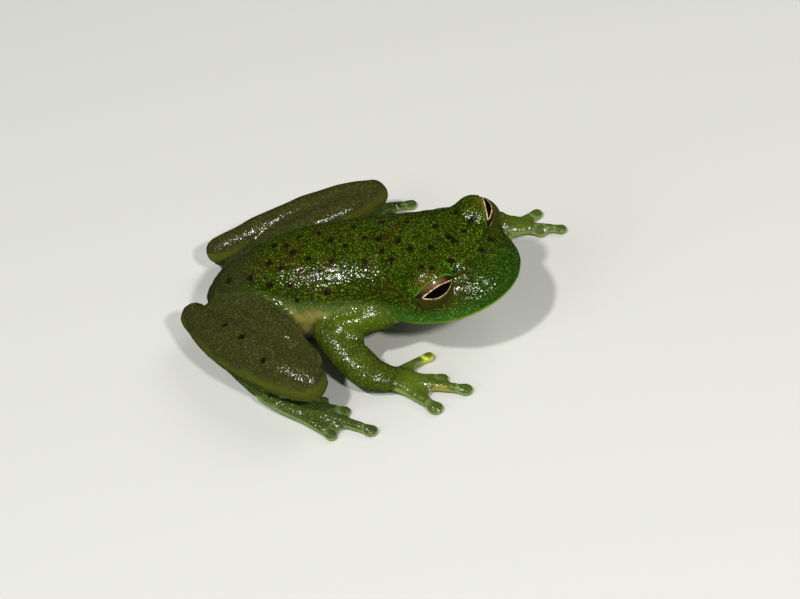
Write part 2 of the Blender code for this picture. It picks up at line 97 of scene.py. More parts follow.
MIX_FIRST = 6
MIX_SECOND = 7
MIX_RESULT = 2


def colour_mix(nodes):
    """A Mix node for colours, whose sockets go by number because its kinds of value share names."""
    made = nodes.new("ShaderNodeMix")
    made.data_type = "RGBA"
    return made


class Paint:
    """A material with its shader, and short ways to add nodes to it."""

    def __init__(self, name):
        self.material = bpy.data.materials.new(name)
        self.material.use_nodes = True
        self.nodes = self.material.node_tree.nodes
        self.links = self.material.node_tree.links
        self.shader = self.nodes["Principled BSDF"]

    def finish(self, values):
        """Sets plain values of the shader by their names."""
        for name, value in values.items():
            self.shader.inputs[name].default_value = value

    def node(self, kind, **settings):
        """A new node of a kind, with its settings."""
        made = self.nodes.new("ShaderNode" + kind)
        for key, value in settings.items():
            setattr(made, key, value)
        return made

    def join(self, value, socket):
        """Gives a socket a number, a colour or another node's output."""
        if isinstance(value, tuple):
            socket.default_value = (*value, 1)
        elif isinstance(value, (int, float)):
            socket.default_value = value
        else:
            self.links.new(value, socket)

    def pattern(self, kind, size, place, **settings):
        """A texture whose grains or waves have the stated size."""
        made = self.node(kind, **settings)
        made.inputs["Scale"].default_value = 1 / size
        self.links.new(place, made.inputs["Vector"])
        return made

    def attribute(self, name, output="Fac"):
        """A value that is stored on the mesh."""
        return self.node("Attribute", attribute_name=name).outputs[output]

    def maths(self, operation, first, second):
        """One sum of two values."""
        made = self.node("Math", operation=operation)
        for socket, value in zip(made.inputs, (first, second)):
            self.join(value, socket)
        return made.outputs[0]

    def step(self, value, start, end):
        """Soft step from 0 at start to 1 at end."""
        made = self.node("MapRange", interpolation_type="SMOOTHSTEP")
        self.links.new(value, made.inputs["Value"])
        made.inputs["From Min"].default_value = start
        made.inputs["From Max"].default_value = end
        return made.outputs["Result"]

    def blend(self, share, first, second):
        """The first colour at share 0, the second at share 1."""
        made = colour_mix(self.nodes)
        self.join(share, made.inputs[MIX_SHARE])
        self.join(first, made.inputs[MIX_FIRST])
        self.join(second, made.inputs[MIX_SECOND])
        return made.outputs[MIX_RESULT]


room = bpy.data.worlds.new("room")
bpy.context.scene.world = room
room.use_nodes = True
room_nodes = room.node_tree.nodes
room_links = room.node_tree.links
ray_kind = room_nodes.new("ShaderNodeLightPath")
wall = colour_mix(room_nodes)
wall.inputs[MIX_FIRST].default_value = ROOM_LIGHT
wall.inputs[MIX_SECOND].default_value = ROOM_SEEN
room_links.new(ray_kind.outputs["Is Camera Ray"], wall.inputs[MIX_SHARE])
mirrored = colour_mix(room_nodes)
mirrored.inputs[MIX_SECOND].default_value = ROOM_MIRRORED
room_links.new(ray_kind.outputs["Is Glossy Ray"], mirrored.inputs[MIX_SHARE])
room_links.new(wall.outputs[MIX_RESULT], mirrored.inputs[MIX_FIRST])
room_links.new(mirrored.outputs[MIX_RESULT], room_nodes["Background"].inputs["Color"])
for name, (direction, distance, width, power, tint) in LAMPS.items():
    toward = Vector(direction).normalized()
    lamp = bpy.data.objects.new(name, bpy.data.lights.new(name, "AREA"))
    lamp.data.shape = "DISK"
    lamp.data.size = width
    lamp.data.energy = power
    lamp.data.color = tint
    lamp.location = toward * distance
    lamp.rotation_mode = "QUATERNION"
    lamp.rotation_quaternion = toward.to_track_quat("Z", "Y")
    lamp.visible_glossy = name.startswith("lamp")
    bpy.context.scene.collection.objects.link(lamp)

sheet = bmesh.new()
bmesh.ops.create_grid(sheet, x_segments=1, y_segments=1, size=FLOOR_WIDTH / 2)
floor = bpy.data.objects.new("floor", bpy.data.meshes.new("floor"))
sheet.to_mesh(floor.data)
sheet.free()
bpy.context.scene.collection.objects.link(floor)
floor_paint = Paint("floor_paint")
floor_paint.finish(FLOOR_FINISH)
floor.data.materials.append(floor_paint.material)
floor.visible_glossy = False

# The skin's first shape. Glass frogs have one thin, moist skin over head, trunk and limbs, so the
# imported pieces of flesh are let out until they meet, drawn over as one surface and taken in again.
# Round each eye a full dome closes the socket; the lids are cut over it later.
LET_OUT = 0.26
PULL_BACK = 0.12
KEEP_APART = 0.55
NEIGHBOUR_REACH = 2.0
LIMB_CHAINS = (("upper_arm", "forearm", "hand"), ("thigh", "shank", "tarsus", "foot"))
WEAVE = 0.182
EDGE_MERGE = 0.002
EYE_RADIUS = 1.85
DOME_RADIUS = 2.04
DOME_FINENESS = 5
DOME_SLACK = 0.1
EYE_OUT = {"eye_right": math.radians(41), "eye_left": math.radians(30)}
EYE_UP = {"eye_right": math.radians(20), "eye_left": math.radians(40)}
EYE_TILT = {"eye_right": math.radians(5), "eye_left": math.radians(-10)}
CAP_FROM = 0.8
HEAD_TURN = math.radians(16.5)
EVEN = (0.5, -0.52)
DRAWN_ROUNDS = 4
TAKE_IN_STEPS = 2
TAKE_IN_ROUNDS = 5
flesh_names = sorted(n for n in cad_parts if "eye" not in n)
head_front = Vector((-math.sin(HEAD_TURN), -math.cos(HEAD_TURN), 0))
head_left = UP.cross(head_front)


def places(mesh):
    """A mesh's vertices, one in each row."""
    co = np.empty(len(mesh.vertices) * 3, np.float32)
    mesh.vertices.foreach_get("co", co)
    return co.reshape(-1, 3).astype(float)


def corners(name):
    """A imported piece's vertices in millimetres."""
    return places(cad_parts[name].data) / MM


def ramp(value, start, end):
    """Soft step from 0 at start to 1 at end."""
    t = np.clip((value - start) / (end - start), 0, 1)
    return t * t * (3 - 2 * t)


def hump(value, middle, width):
    """Bell curve of height 1."""
    return np.exp(-(((value - middle) / width) ** 2))


def how_far(points, centre):
    """Distance of each point from one place."""
    return np.linalg.norm(points - np.array(centre), axis=1)


class Eye:
    """Place of an eye's ball and its directions: out of the head, along the opening, and over it."""

    def __init__(self, name):
        self.name = name
        self.sign = 1 if name == "eye_left" else -1
        aside = EYE_OUT[name]
        flat = head_front * math.cos(aside) + head_left * (self.sign * math.sin(aside))
        self.out = flat * math.cos(EYE_UP[name]) + UP * math.sin(EYE_UP[name])
        along = head_front * math.sin(aside) - head_left * (self.sign * math.cos(aside))
        over = (self.out.cross(along) * -self.sign).normalized()
        tilt = EYE_TILT[name]
        self.along = along * math.cos(tilt) + over * math.sin(tilt)
        self.over = over * math.cos(tilt) - along * math.sin(tilt)
        points = corners(name)
        depth = points @ np.array(self.out)
        cap = points[depth > depth.max() - EYE_RADIUS + CAP_FROM]
        terms = np.hstack([2 * cap, np.ones((len(cap), 1))])
        fitted = np.linalg.lstsq(terms, (cap**2).sum(1), rcond=None)[0]
        self.centre = Vector(fitted[:3])

    def local(self, points):
        """Points in the eye's own directions, from its centre."""
        away = points - np.array(self.centre)
        return tuple(away @ np.array(axis) for axis in (self.along, self.over, self.out))

    def drawn_out(self, points, share):
        """Points moved on their lines from the centre, to a share of their distance."""
        centre = np.array(self.centre)
        return centre + (points - centre) * share[:, None]


eyes = [Eye("eye_right"), Eye("eye_left")]
brow = (eyes[0].centre + eyes[1].centre) / 2

trees = {}
for name in flesh_names:
    node_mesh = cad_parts[name].data
    points = [v.co / MM for v in node_mesh.vertices]
    trees[name] = BVHTree.FromPolygons(points, [tuple(p.vertices) for p in node_mesh.polygons])


def strangers(name):
    """Pieces that this one only lies close to, and must not grow into."""
    kind, side = name.rsplit("_", 1) if "_" in name else (name, "")
    chain = next((c for c in LIMB_CHAINS if kind in c), ("head", "torso"))
    friends = {"torso", "head"} if kind in ("head", "torso", "upper_arm", "thigh") else set()
    if kind in chain:
        at = chain.index(kind)
        friends |= {f"{k}_{side}" for k in chain[max(at - 1, 0) : at + 2]}
    if kind in ("head", "torso"):
        friends |= {f"{k}_{s}" for k in ("upper_arm", "thigh", "forearm") for s in ("left", "right")}
    if kind == "forearm":
        friends.add("torso")
    return [trees[n] for n in flesh_names if n not in friends and n != name]


gathered = bmesh.new()
let_out = KDTree(sum(len(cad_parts[name].data.vertices) for name in flesh_names))
grown = []
for name in flesh_names:
    flesh = bmesh.new()
    flesh.from_mesh(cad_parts[name].data)
    bmesh.ops.scale(flesh, vec=(1 / MM,) * 3, verts=flesh.verts)
    bmesh.ops.remove_doubles(flesh, verts=flesh.verts, dist=EDGE_MERGE)
    flesh.normal_update()
    others = strangers(name)
    for vert in flesh.verts:
        hits = [tree.find_nearest(vert.co, NEIGHBOUR_REACH)[3] for tree in others]
        space = min([hit for hit in hits if hit is not None], default=NEIGHBOUR_REACH)
        grow = min(max((space - KEEP_APART) / 2, -PULL_BACK), LET_OUT)
        vert.co += vert.normal * grow
        let_out.insert(vert.co, len(grown))
        grown.append(grow)
    holder = bpy.data.meshes.new(name + "_let_out")
    flesh.to_mesh(holder)
    flesh.free()
    gathered.from_mesh(holder)
    bpy.data.meshes.remove(holder)
let_out.balance()
for eye in eyes:
    seat = Matrix.Translation(eye.centre)
    radius = DOME_RADIUS + LET_OUT
    bmesh.ops.create_icosphere(gathered, subdivisions=DOME_FINENESS, radius=radius, matrix=seat)
skin = bpy.data.objects.new("skin", bpy.data.meshes.new("skin"))
gathered.to_mesh(skin.data)
gathered.free()
bpy.context.scene.collection.objects.link(skin)
draw_over = skin.modifiers.new("draw_over", "REMESH")
draw_over.mode = "VOXEL"
draw_over.voxel_size = WEAVE
drawn = bpy.data.meshes.new_from_object(skin.evaluated_get(bpy.context.evaluated_depsgraph_get()))
skin.modifiers.clear()
skin.data = drawn


def drop_scraps(mesh):
    """Keeps the larger part of a mesh, found by a walk along its edges from one vertex."""
    whole = bmesh.new()
    whole.from_mesh(mesh)
    whole.verts.ensure_lookup_table()
    joined = {0}
    reached = [whole.verts[0]]
    while reached:
        for edge in reached.pop().link_edges:
            for vert in edge.verts:
                if vert.index not in joined:
                    joined.add(vert.index)
                    reached.append(vert)
    joined_stay = len(joined) > len(whole.verts) / 2
    scraps = [v for v in whole.verts if (v.index in joined) != joined_stay]
    bmesh.ops.delete(whole, geom=scraps, context="VERTS")
    whole.to_mesh(mesh)
    whole.free()


def normals(mesh):
    """The direction that the surface faces at each vertex."""
    out = np.empty(len(mesh.vertices) * 3, np.float32)
    mesh.vertices.foreach_get("normal", out)
    return out.reshape(-1, 3).astype(float)


def put(mesh, co):
    """Moves a mesh's vertices to new places."""
    mesh.vertices.foreach_set("co", co.astype(np.float32).ravel())
    mesh.update()


def edge_ends(mesh):
    """The two vertices of each edge, by number."""
    out = np.empty(len(mesh.edges) * 2, np.int32)
    mesh.edges.foreach_get("vertices", out)
    return out.reshape(-1, 2)


def relax(co, ends, pulls, where=None):
    """Moves vertices toward the middle of their neighbours, once for each share in pulls. The pair
    in EVEN pulls and then pushes back, which smooths the skin and doesn't make it thinner."""
    count = len(co)
    a = np.concatenate([ends[:, 0], ends[:, 1]])
    b = np.concatenate([ends[:, 1], ends[:, 0]])
    valence = np.bincount(a, minlength=count)[:, None]
    share = 1.0 if where is None else where[:, None]
    for pull in pulls:
        mean = np.stack([np.bincount(a, co[b, i], count) for i in range(3)], 1) / valence
        co = co + (mean - co) * pull * share
    return co


drop_scraps(drawn)
ends = edge_ends(drawn)
put(drawn, relax(places(drawn), ends, EVEN * DRAWN_ROUNDS))
depth = np.array([grown[let_out.find(point)[1]] for point in places(drawn)])
for eye in eyes:
    depth[how_far(places(drawn), eye.centre) < DOME_RADIUS + LET_OUT + DOME_SLACK] = LET_OUT
for k in range(TAKE_IN_STEPS):
    put(drawn, places(drawn) - normals(drawn) * (depth / TAKE_IN_STEPS)[:, None])
    put(drawn, relax(places(drawn), ends, EVEN * TAKE_IN_ROUNDS))

# The joins. Where the flesh pieces meet, the skin runs on with no step, and it falls softly from
# the eye domes to the head, while the domes stay round.
SOFTEN = (0.5,)
SEAM_SEARCH = 0.6
SEAM_REACH = 0.34
SEAM_EDGE = 0.2
SEAM_ROUNDS = 40
FILLET_REACH = 1.5
FILLET_FOOT = 0.5
FILLET_DEPTH = (1.3, 0.2)
FILLET_ROUNDS = 80
DOME_HELD_OVER = 0.02
DOME_HELD_UNDER = 0.04


def distances(name, co, reach):
    """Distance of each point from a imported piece, no more than reach."""
    find = trees[name].find_nearest
    out = np.full(len(co), reach)
    for i, point in enumerate(co):
        hit = find(point, reach)
        if hit[0] is not None:
            out[i] = hit[3]
    return out


co = places(drawn)
nearness = np.stack([distances(name, co, SEAM_SEARCH) for name in flesh_names])
second = np.sort(nearness, axis=0)[1]
seam = ramp(second, SEAM_REACH + SEAM_EDGE, SEAM_REACH)
co = relax(co, ends, SOFTEN * SEAM_ROUNDS, seam)
for eye in eyes:
    foot = ramp(how_far(co, eye.centre), DOME_RADIUS + FILLET_REACH, DOME_RADIUS + FILLET_FOOT)
    ring = ramp(eye.local(co)[2], *FILLET_DEPTH) * foot
    co = relax(co, ends, SOFTEN * FILLET_ROUNDS, ring)
    away = how_far(co, eye.centre)
    rounder = eye.drawn_out(co, DOME_RADIUS / away)
    held = ramp(away, DOME_RADIUS + DOME_HELD_OVER, DOME_RADIUS - DOME_HELD_UNDER)
    co += (rounder - co) * held[:, None]

# The knees. On the folded legs the skin goes round both bones' ends as one rounded end, so the
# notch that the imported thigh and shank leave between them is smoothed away.
KNEE_PERCENT = 4
KNEE_REACH = 2.6
KNEE_CORE = 0.6
KNEE_ROUNDS = 40


def foremost(points):
    """Middle of the few points that lie furthest to the frog's front."""
    limit = np.percentile(points[:, 1], KNEE_PERCENT)
    return np.median(points[points[:, 1] < limit], axis=0)


for side in ("left", "right"):
    knee = np.mean([foremost(corners(f"{bone}_{side}")) for bone in ("thigh", "shank")], axis=0)
    round_knee = ramp(how_far(co, knee), KNEE_REACH, KNEE_REACH * KNEE_CORE)
    co = relax(co, ends, EVEN * KNEE_ROUNDS, round_knee)
put(drawn, co)

# Finer skin where the head is finely shaped. The mesh is halved, and by the lids and nostrils
# halved again, round the eyes, along the lip and at the nostrils. The lip's line is the widest
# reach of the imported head, seen from above.
NOSTRIL_FRONT = 4.45
NOSTRIL_SIDE = 1.5
NOSTRIL_LEVEL = 7.4
JAW_BACK = 1.0
JAW_FOOT = 3.5
JAW_TOP = 6.6
LIP_TURN = math.radians(104)
LIP_STEPS = 52
LIP_STEP_REACH = 1.6
LIP_REACH_POWERS = 8
LIP_LEVEL_POWERS = 4
FINE_REACH = 2.6
FINE_DEPTH = 0.1
FINE_HALF = 2.3
FINE_SQUASH = 1.2
FINE_RIM_HALF = 1.62
FINE_RIM_TALL = 0.85
FINE_RIM_RAISE = 0.1
FINE_RIM_BAND = 0.42
FINE_LIP = 0.7
FINE_LIP_OVER = 0.45
FINE_NOSTRIL = (0.7, 0.4)
HALVINGS = 2
EVEN_REACH = 3
EVEN_LIP = 1
FINE_ROUNDS = 4
jaw = np.array(brow - head_front * JAW_BACK)


def round_jaw(points):
    """Turn from straight ahead and reach from the middle of the jaw, seen from above."""
    away = points - jaw
    front = away @ np.array(head_front)
    left = away @ np.array(head_left)
    return np.arctan2(left, front), np.hypot(left, front)


head_points = corners("head")
head_points = head_points[(head_points[:, 2] > JAW_FOOT) & (head_points[:, 2] < JAW_TOP)]
turn, reach = round_jaw(head_points)
lip_rows = []
for k in range(LIP_STEPS):
    middle = LIP_TURN * (2 * (k + 0.5) / LIP_STEPS - 1)
    near = np.flatnonzero(np.abs(turn - middle) < LIP_TURN / LIP_STEPS * LIP_STEP_REACH)
    if len(near):
        best = near[reach[near].argmax()]
        lip_rows.append((turn[best], reach[best], head_points[best, 2]))
lip_rows = np.array(lip_rows)
lip_reach = np.polyfit(lip_rows[:, 0], lip_rows[:, 1], LIP_REACH_POWERS)
lip_level = np.polyfit(lip_rows[:, 0], lip_rows[:, 2], LIP_LEVEL_POWERS)


def lip_place(points):
    """Turn round the jaw, distance out of the lip's line and height over it."""
    turn, reach = round_jaw(points)
    held = np.clip(turn, -LIP_TURN, LIP_TURN)
    return turn, reach - np.polyval(lip_reach, held), points[:, 2] - np.polyval(lip_level, held)


nostrils = []
for sign in (-1, 1):
    place = brow + head_front * NOSTRIL_FRONT + head_left * (sign * NOSTRIL_SIDE)
    nostrils.append(Vector((place.x, place.y, NOSTRIL_LEVEL)))


def fine_parts(centres, halving):
    """Which face centres lie where the skin needs another halving of its faces."""
    chosen = np.zeros(len(centres), bool)
    for eye in eyes:
        a, o, d = eye.local(centres)
        dome = (how_far(centres, eye.centre) < FINE_REACH) & (d > FINE_DEPTH)
        if halving == 0:
            chosen |= dome & (np.hypot(a, o * FINE_SQUASH) < FINE_HALF)
        else:
            round_rim = np.hypot(a / FINE_RIM_HALF, (o - FINE_RIM_RAISE) / FINE_RIM_TALL)
            chosen |= dome & (np.abs(round_rim - 1) < FINE_RIM_BAND)
    if halving == 0:
        turn, out, over = lip_place(centres)
        beside = (np.abs(turn) < LIP_TURN) & (np.abs(out) < FINE_LIP)
        chosen |= beside & (over > -FINE_LIP) & (over < FINE_LIP_OVER)
    for place in nostrils:
        chosen |= how_far(centres, place) < FINE_NOSTRIL[halving]
    return chosen


work = bmesh.new()
work.from_mesh(drawn)
for halving in range(HALVINGS):
    centres = np.array([f.calc_center_median() for f in work.faces])
    chosen = fine_parts(centres, halving)
    inside = [f for f, c in zip(work.faces, chosen) if c]
    edges = list({e for f in inside for e in f.edges})
    bmesh.ops.subdivide_edges(work, edges=edges, cuts=1, use_grid_fill=True)
bmesh.ops.triangulate(work, faces=[f for f in work.faces if len(f.verts) > 4])
work.to_mesh(drawn)
work.free()
ends = edge_ends(drawn)
co = places(drawn)
turn, out, over = lip_place(co)
fine = (np.abs(turn) < LIP_TURN) & (np.abs(out) < EVEN_LIP) & (np.abs(over) < EVEN_LIP)
for eye in eyes:
    fine |= how_far(co, eye.centre) < EVEN_REACH
put(drawn, relax(co, ends, EVEN * FINE_ROUNDS, fine.astype(float)))

# The lids. They are folds of the same skin, fitted to the ball: the skin dips under the ball inside
# the opening, turns over in a thin wet margin at its edge and runs out into the head, where the
# step that this leaves is smoothed.
OPENING_HALF = 1.66
OPENING_TOP = {"eye_right": 0.90, "eye_left": 0.80}
OPENING_FOOT = {"eye_right": 0.62, "eye_left": 0.20}
BOW_POWERS = (2.2, 0.85)
SQUARE_POWERS = (3.0, 0.8)
SQUARE_FROM = (-0.2, 0.6)
BOW_SLOPE = 1.9
CORNER_HALF = 0.02
MARGIN = 0.10
LOWER_MARGIN = 0.05
MARGIN_TURN = (-0.03, 0.05)
LID_RUN = 0.55
LOWER_RUN = 1.1
LID_FROM = 0.06
UPPER_SIDE = (-0.1, 0.25)
TUCK_START = 0.02
TUCK_DEPTH = 0.3
TUCK_RUN = 0.3
LID_DEPTH = 0.15
LID_REACH = 2.9
SMOOTH_FROM = (0.25, 0.6)
SMOOTH_REACH = (3.3, 2.7)
SMOOTH_DEPTH = (-0.2, 0.4)
SMOOTH_ROUNDS = 20


def bow(t, powers):
    """Height of a lid's edge along the opening: 1 at its middle, 0 at its corner."""
    return (1 - t ** powers[0]) ** powers[1]


def lid_gap(a, o, name):
    """Distance outside the opening, negative inside, at places along and over it."""
    t = np.clip(np.abs(a) / OPENING_HALF, 0, 1)
    lower_bow = bow(t, BOW_POWERS)
    upper_bow = lower_bow + (bow(t, SQUARE_POWERS) - lower_bow) * ramp(a, *SQUARE_FROM)
    slope = a / OPENING_HALF**2
    opened = OPENING_TOP[name]
    foot = OPENING_FOOT[name]
    above = (o - opened * upper_bow) / np.hypot(1, slope * BOW_SLOPE * opened)
    below = (-foot * lower_bow - o) / np.hypot(1, slope * BOW_SLOPE * foot)
    past = np.maximum(np.abs(a) - OPENING_HALF, 0)
    past_corner = np.hypot(past, np.maximum(np.abs(o) - CORNER_HALF, 0))
    return np.where(past > 0, past_corner, np.maximum(above, below))


def round_opening(eye, points):
    """Places along and over the opening as cast on the ball, depth, distance and lid gap."""
    a, o, d = eye.local(points)
    away = np.sqrt(a * a + o * o + d * d)
    along = a * (EYE_RADIUS / away)
    over = o * (EYE_RADIUS / away)
    return along, over, d, away, lid_gap(along, over, eye.name)


co = places(drawn)
for eye in eyes:
    _, over, d, away, gap = round_opening(eye, co)
    upper = ramp(over, *UPPER_SIDE)
    margin = LOWER_MARGIN + (MARGIN - LOWER_MARGIN) * upper
    run = LOWER_RUN + (LID_RUN - LOWER_RUN) * upper
    rim = EYE_RADIUS + margin * ramp(gap, *MARGIN_TURN)
    tuck = EYE_RADIUS - TUCK_START - TUCK_DEPTH * ramp(-gap, 0.0, TUCK_RUN)
    edge = np.where(gap < 0, np.minimum(rim, tuck + margin * ramp(gap, *MARGIN_TURN)), rim)
    fade = ramp(gap, LID_FROM, LID_FROM + run)
    fitted = eye.drawn_out(co, (edge * (1 - fade) + away * fade) / away)
    on_dome = (d > LID_DEPTH) & (away < LID_REACH)
    co = np.where(on_dome[:, None], fitted, co)
for eye in eyes:
    _, _, d, away, gap = round_opening(eye, co)
    round_lids = ramp(gap, *SMOOTH_FROM) * ramp(away, *SMOOTH_REACH) * ramp(d, *SMOOTH_DEPTH)
    co = relax(co, ends, EVEN * SMOOTH_ROUNDS, round_lids)

# The lip. The upper jaw's edge is a thin raised rim of the same skin, and the shut mouth is a
# narrow groove just under it.
RIM_OUT = 0.06
RIM_WIDTH = 0.10
MOUTH_UNDER = -0.27
MOUTH_IN = 0.20
MOUTH_WIDTH = 0.085
LIP_END = 0.88
LIP_REACH = (1.0, 0.6)
SEEN_FROM_ABOVE = np.array((1, 1, 0))
turn, out, over = lip_place(co)
along_lip = ramp(np.abs(turn), LIP_TURN, LIP_TURN * LIP_END) * ramp(np.abs(out), *LIP_REACH)
outward = (co - jaw) * SEEN_FROM_ABOVE
outward /= np.linalg.norm(outward, axis=1)[:, None]
shift = RIM_OUT * hump(over, 0, RIM_WIDTH) - MOUTH_IN * hump(over, MOUTH_UNDER, MOUTH_WIDTH)
co = co + outward * (shift * along_lip)[:, None]
put(drawn, co)

# The nostrils. Two small pits in the skin near the end of the snout, each in a low soft ring, are
# pressed in from the nearest point of the head's surface.
PIT_RADIUS = 0.10
PIT_DEPTH = 0.16
RING_RADIUS = 0.22
RING_WIDTH = 0.1
RING_HEIGHT = 0.06
facing = normals(drawn)
for place in nostrils:
    gaps = how_far(co, co[how_far(co, place).argmin()])
    lift = RING_HEIGHT * hump(gaps, RING_RADIUS, RING_WIDTH) - PIT_DEPTH * hump(gaps, 0, PIT_RADIUS)
    co = co + facing * lift[:, None]
put(drawn, co)

# The parts of the skin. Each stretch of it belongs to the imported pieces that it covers, as weights
# that add up to one, so that colour and relief run softly from part to part.
PARTS = {
    "head": ("head",),
    "trunk": ("torso",),
    "arm": ("upper_arm", "forearm"),
    "hand": ("hand",),
    "leg": ("thigh", "shank"),
    "heel": ("tarsus",),
    "foot": ("foot",),
}
PART_SEARCH = 1.5
PART_SOFTNESS = 0.12
PART_SHARPNESS = 3.0
nearness = {name: distances(name, co, PART_SEARCH) for name in flesh_names}
weight = {}
for part, stems in PARTS.items():
    gaps = np.min([nearness[n] for n in flesh_names if n.startswith(stems)], axis=0)
    weight[part] = (gaps + PART_SOFTNESS) ** -PART_SHARPNESS
total = sum(weight.values())
weight = {part: w / total for part, w in weight.items()}
body = weight["head"] + weight["trunk"]
digits = weight["hand"] + weight["foot"]

# The relief of the skin. The back is set with low pebbles, the limbs have softer swellings, a faint
# round drum lies behind each eye, and the pads at the ends of the digits are rimmed by a groove. A
# pattern here is its grain in millimetres and its start in the noise; a pad is x, y and radius.
PEBBLES = (0.5, 0.0)
PEBBLE_HEIGHT = 0.045
PEBBLE_LEVEL = (2.0, 4.0)
PEBBLE_FACING = (-0.35, 0.2)
SWELLINGS = (1.7, 2.0)
SWELL_HEIGHT = 0.07
SWELL_LOST_ON_BODY = 0.6
SWELL_LOST_ON_DIGITS = 0.7
DRUM_BACK = 2.75
DRUM_SIDE = 1.15
DRUM_LEVEL = -1.55
DRUM_RADIUS = 0.42
DRUM_RIM_WIDTH = 0.12
DRUM_RIM_HEIGHT = 0.05
DRUM_DIP_WIDTH = 0.3
DRUM_DIP = 0.03
GROOVE_DEPTH = 0.05
GROOVE_AT = 1.12
GROOVE_WIDTH = 0.13
GROOVE_FACING = (0.0, 0.5)
CALM_EYE_REACH = (3.0, 2.3)
CALM_EYE_DEPTH = (0.0, 0.5)
CALM_LIP_LEVEL = -0.1
CALM_LIP_WIDTH = 0.5
CALM_LIP_REACH = (0.8, 0.4)
PADS = {
    "hand_right": ((-5.02, -5.40, 0.56), (-7.37, -6.90, 0.52), (-8.57, -8.90, 0.64), (-10.47, -6.70, 0.70)),
    "hand_left": ((7.63, -9.60, 0.52), (8.88, -13.20, 0.50), (9.23, -14.90, 0.56), (11.13, -12.60, 0.62)),
    "foot_right": (
        (-8.27, 3.10, 0.42),
        (-9.67, 2.50, 0.46),
        (-10.77, 0.60, 0.54),
        (-12.77, -1.80, 0.64),
        (-13.27, 1.30, 0.54),
    ),
    "foot_left": (
        (9.23, 3.10, 0.42),
        (10.23, 1.70, 0.46),
        (11.33, 0.10, 0.54),
        (12.68, -1.50, 0.60),
        (13.33, 1.40, 0.50),
    ),
}
NOISE_WAY = (1.0, 3.1, 7.7)
NOWHERE_NEAR = 9.0


def mottle(points, size, start):
    """Soft random hills and hollows of the stated size, from -1 to 1."""
    offset = Vector([way * start for way in NOISE_WAY])
    return np.array([noise.noise(Vector(p) / size + offset) for p in points])


def pad_gap(points, pad):
    """Distance from the middle of a digit's pad, seen from above, in radii of the pad."""
    middle_x, middle_y, radius = pad
    return np.hypot(points[:, 0] - middle_x, points[:, 1] - middle_y) / radius


facing = normals(drawn)
lids = np.zeros(len(co))
drum = np.full(len(co), NOWHERE_NEAR)
for eye in eyes:
    _, _, d, away, _ = round_opening(eye, co)
    lids = np.maximum(lids, ramp(away, *CALM_EYE_REACH) * ramp(d, *CALM_EYE_DEPTH))
    drum_side = head_left * (eye.sign * DRUM_SIDE)
    drum_middle = eye.centre - head_front * DRUM_BACK + drum_side + UP * DRUM_LEVEL
    drum = np.minimum(drum, how_far(co, drum_middle))
pad = np.full(len(co), NOWHERE_NEAR)
for row in PADS.values():
    for one in row:
        pad = np.minimum(pad, pad_gap(co, one))
lip_turn, lip_out, lip_over = lip_place(co)
by_lip = hump(lip_over, CALM_LIP_LEVEL, CALM_LIP_WIDTH) * ramp(np.abs(lip_out), *CALM_LIP_REACH)
calm = (1 - lids) * (1 - weight["head"] * by_lip)
pebble = mottle(co, *PEBBLES) * PEBBLE_HEIGHT * body * ramp(co[:, 2], *PEBBLE_LEVEL)
pebble *= ramp(facing[:, 2], *PEBBLE_FACING)
swell = mottle(co, *SWELLINGS) * SWELL_HEIGHT
swell *= 1 - SWELL_LOST_ON_BODY * body - SWELL_LOST_ON_DIGITS * digits
groove = -GROOVE_DEPTH * hump(pad, GROOVE_AT, GROOVE_WIDTH) * digits * ramp(facing[:, 2], *GROOVE_FACING)
drum_rim = DRUM_RIM_HEIGHT * hump(drum, DRUM_RADIUS, DRUM_RIM_WIDTH)
ear = (drum_rim - DRUM_DIP * hump(drum, 0, DRUM_DIP_WIDTH)) * weight["head"]
co = co + facing * ((pebble + swell) * calm + groove + ear)[:, None]
co[:, 2] = np.maximum(co[:, 2], 0.0)
put(drawn, co)
facing = normals(drawn)

# The skin's ground colour. Olive and brown on the back, green on the jaw, cream low on the flank,
# smoky olive on rump and legs, and glassy yellow-green hands and feet with lemon rims to the pads.
# Each colour is laid over those before it, on the part and between the levels named for it.
OLIVE = (0.012, 0.020, 0.0008)
BROWN = (0.022, 0.018, 0.002)
PATCHES = (1.5, 1.0)
BROWN_ON_TRUNK = (-0.1, 0.35)
BROWN_ON_HEAD = (0.15, 0.5)
BROWN_HEAD_SHARE = 0.6
GREEN_FLANK = (0.055, 0.090, 0.014)
GREEN_FLANK_LEVEL = (6.2, 5.0)
CREAM = (0.25, 0.225, 0.055)
CREAM_LEVEL = (5.4, 4.2)
CREAM_BACK = 4.1
CREAM_LENGTH = 2.2
FLANK_WAVES = (0.9, 8.0)
FLANK_RIPPLES = (0.3, 9.0)
FLANK_WAVE_HEIGHT = 0.45
FLANK_RIPPLE_HEIGHT = 0.25
BELLY = (0.24, 0.27, 0.11)
BELLY_WAVES = (0.7, 11.0)
BELLY_WAVE_SHARE = 0.22
BELLY_FACING = (0.05, -0.75)
BELLY_LEVEL = (6.4, 4.6)
SMOKE = (0.022, 0.027, 0.006)
RUMP_FROM = (7.5, 10.2)
SNOUT = (0.009, 0.029, 0.002)
SNOUT_FROM = (1.6, 4.6)
SNOUT_SHARE = 0.7
JAW = (0.028, 0.086, 0.006)
JAW_LEVEL = (1.7, 0.3)
JAW_FACING = (-0.5, -0.1)
JAW_TURN = (0.45, 1.15)
JAW_FRONT_SHARE = 0.3
THROAT_LEVEL = (-0.15, -0.5)
# The lip's thin yellow-green line is the skin's own colour; the same colour laid thicker toward the front
# is a painted highlight.
LIP_YELLOW_AND_HIGHLIGHT = (0.20, 0.36, 0.018)
LIP_LINE_WIDTH = 0.11
LIP_LINE_SHARE = 0.3
LIP_HIGHLIGHT_WIDTH = 0.09
LIP_HIGHLIGHT_SQUASH = 0.3
LIP_HIGHLIGHT_TURN = (1.5, 0.5)
x, y, z = co.T
lip_turn, lip_out, lip_over = lip_place(co)
upward = facing[:, 2]


